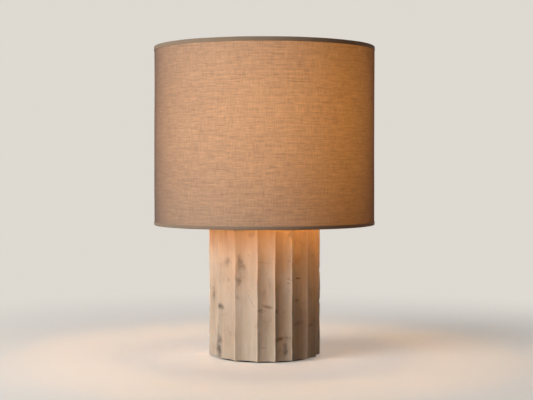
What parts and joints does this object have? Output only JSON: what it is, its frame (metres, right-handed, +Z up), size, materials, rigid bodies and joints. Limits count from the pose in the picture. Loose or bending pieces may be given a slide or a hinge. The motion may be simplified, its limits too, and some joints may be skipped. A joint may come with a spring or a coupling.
{
  "type": "table lamp",
  "caption": "Table lamp: a thick fluted stone column under a wide linen drum shade, with harp, finial, turn-knob socket and screw-in bulb.",
  "frame": {"origin": "centre of the foot, on the surface that the lamp stands on", "axes": "+Z up the column's axis, -Y towards the viewer of the picture, +X to the viewer's right; the cord leaves at +Y"},
  "size_m": [0.4335, 0.4336, 0.607],
  "materials": {
    "felt": "pressed felt",
    "stone": "honed",
    "zinc_steel": "zinc plated",
    "brass": "satin, lacquered",
    "gland_bush": "moulded",
    "gasket_paper": "fibre",
    "socket_brass": "satin",
    "socket_card": "waxed",
    "phenolic": "moulded",
    "knob_black": "moulded",
    "frosted_glass": "frosted",
    "clear_glass": "clear",
    "black_glass": "fused",
    "bulb_aluminium": "rolled",
    "solder": "dull",
    "filament_wire": "drawn",
    "shade_frame": "powder coated",
    "linen": "plain weave",
    "liner_sheet": "translucent",
    "trim_tape": "woven tape"
  },
  "bodies": {
    "base": {"foot_pad": "felt", "column": "stone", "base_plate": "zinc_steel", "base_washer": "zinc_steel", "lock_washer": "zinc_steel", "base_nut": "zinc_steel", "lamp_pipe": "zinc_steel", "cord_gland": "gland_bush", "gland_nut": "gland_bush", "cap_gasket": "gasket_paper", "column_cap": "brass", "neck_spacer": "brass", "harp_saddle": "brass", "saddle_nut": "brass", "socket_cap": "socket_brass", "set_screw": "zinc_steel", "socket_shell": "socket_brass", "socket_liner": "socket_card", "socket_core": "phenolic", "screw_shell": "bulb_aluminium", "centre_contact": "socket_brass", "terminal_screws": "brass"},
    "switch": {"switch_shaft": "zinc_steel", "switch_knob": "knob_black"},
    "bulb": {"bulb_globe": "frosted_glass", "bulb_cap": "bulb_aluminium", "bulb_insulator": "black_glass", "bulb_tip": "solder", "bulb_stem": "clear_glass", "bulb_leads": "filament_wire", "bulb_filament": "filament_wire"},
    "harp": {"harp_wire": "brass"},
    "left_sleeve": {"left_sleeve": "brass"},
    "right_sleeve": {"right_sleeve": "brass"},
    "stud": {"harp_stud": "brass"},
    "shade": {"shade_linen": "linen", "shade_liner": "liner_sheet", "top_ring": "shade_frame", "bottom_ring": "shade_frame", "spider_arms": "shade_frame", "spider_hub": "shade_frame", "top_trim": "trim_tape", "bottom_trim": "trim_tape"},
    "finial": {"finial": "brass"}
  },
  "joints": [
    {"name": "switch_turn", "type": "hinge", "parent": "base", "child": "switch", "pos_m": [0, -0.018, 0.333], "axis": [0, -1, 0], "continuous": true},
    {"name": "bulb_turn", "type": "hinge", "parent": "base", "child": "bulb", "pos_m": [0, 0, 0.36], "axis": [0, 0, 1], "range_deg": [0, 1980]},
    {"name": "harp_lift", "type": "slide", "parent": "base", "child": "harp", "axis": [0, 0, 1], "range_m": [0, 0.2]},
    {"name": "left_sleeve_lift", "type": "slide", "parent": "harp", "child": "left_sleeve", "axis": [0, 0, 1], "range_m": [0, 0.014]},
    {"name": "right_sleeve_lift", "type": "slide", "parent": "harp", "child": "right_sleeve", "axis": [0, 0, 1], "range_m": [0, 0.014]},
    {"name": "shade_turn", "type": "hinge", "parent": "harp", "child": "stud", "pos_m": [0, 0, 0.575], "axis": [0, 0, 1], "continuous": true},
    {"name": "shade_lift", "type": "slide", "parent": "stud", "child": "shade", "axis": [0, 0, 1], "range_m": [0, 0.35]},
    {"name": "finial_lift", "type": "slide", "parent": "shade", "child": "finial", "axis": [0, 0, 1], "range_m": [0, 0.03]}
  ]
}
